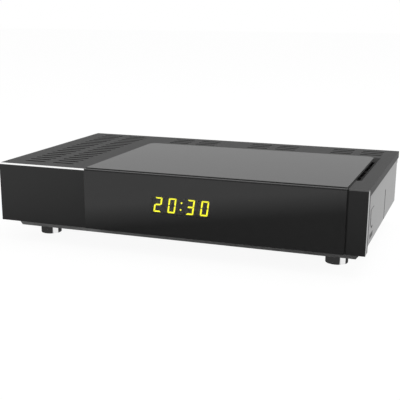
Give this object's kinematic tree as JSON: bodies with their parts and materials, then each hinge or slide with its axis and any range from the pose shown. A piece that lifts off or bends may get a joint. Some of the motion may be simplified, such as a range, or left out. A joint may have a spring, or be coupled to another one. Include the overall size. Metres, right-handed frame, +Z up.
{
  "type": "satellite television receiver",
  "caption": "Flat set-top box with a steel tray, slotted steel cover, gloss front window with a lit clock, bright feet, rear aerial and video sockets and a rocker switch.",
  "frame": {"origin": "middle of the space the receiver takes on a shelf, from the window's face to the ends of the aerial connectors, at the level its feet stand on", "axes": "+X to the right seen from the front, +Y to the back, +Z up"},
  "size_m": [0.26, 0.166, 0.057],
  "materials": {
    "galvanised_steel": "zinc-coated sheet, dull with fine spangle",
    "black_painted_steel": "fine satin powder paint",
    "black_matte_plastic": "fine moulded texture",
    "silver_trim": "bright polished",
    "smoked_acrylic": "polished, smoked to near black",
    "grey_gloss_plate": "polished",
    "display_body": "grey filter face",
    "display_light": "lit strokes",
    "circuit_board": "solder mask over glass laminate",
    "zinc_screws": "bright zinc",
    "dark_resin": "moulded resin",
    "white_nylon": "moulded",
    "ribbon": "soft insulation",
    "brass_standoff": "turned",
    "tinplate": "bright tinned",
    "nickel_brass": "nickel plated, turned thread",
    "nickel": "nickel plated",
    "black_socket": "moulded",
    "orange_socket": "moulded",
    "chip_resin": "moulded",
    "heat_sink_metal": "extruded, bead blasted",
    "capacitor_sleeve": "shrunk sleeve",
    "coil_ferrite": "sintered ferrite",
    "chrome_foot": "polished",
    "rubber_pad": "soft matt"
  },
  "bodies": {
    "receiver": {"chassis_tray": "galvanised_steel", "top_cover": "black_painted_steel", "front_bezel": "black_matte_plastic", "trim_strip": "silver_trim", "front_window": "smoked_acrylic", "top_plate": "grey_gloss_plate", "display_module": "display_body", "display_digits": "display_light", "front_board": "circuit_board", "front_board_screws": "zinc_screws", "ir_receiver": "dark_resin", "ribbon_headers": "white_nylon", "ribbon_cable": "ribbon", "main_board": "circuit_board", "board_standoffs": "brass_standoff", "board_screws": "zinc_screws", "tuner_can": "tinplate", "lnb_input_connector": "nickel_brass", "lnb_loop_connector": "nickel_brass", "connector_nuts": "nickel", "connector_insulators": "white_nylon", "scart_socket": "black_socket", "hdmi_shell": "nickel", "hdmi_tongue": "black_socket", "coax_audio_body": "orange_socket", "coax_audio_shell": "nickel", "usb_shell": "nickel", "usb_tongue": "white_nylon", "ir_extender_jack": "black_socket", "power_inlet": "black_socket", "power_inlet_pin": "nickel", "switch_housing": "black_socket", "processor": "chip_resin", "heat_sink": "heat_sink_metal", "memory_chips": "chip_resin", "capacitors": "capacitor_sleeve", "coils": "coil_ferrite", "cover_screws": "zinc_screws", "foot_shells": "chrome_foot", "foot_pads": "rubber_pad", "foot_screws": "zinc_screws"},
    "rocker": {"switch_rocker": "black_socket"}
  },
  "joints": [
    {"name": "power_switch_turn", "type": "hinge", "parent": "receiver", "child": "rocker", "pos_m": [-0.098, 0.07125, 0.02445], "axis": [0, 0, 1], "range_deg": [-20, 0]}
  ]
}
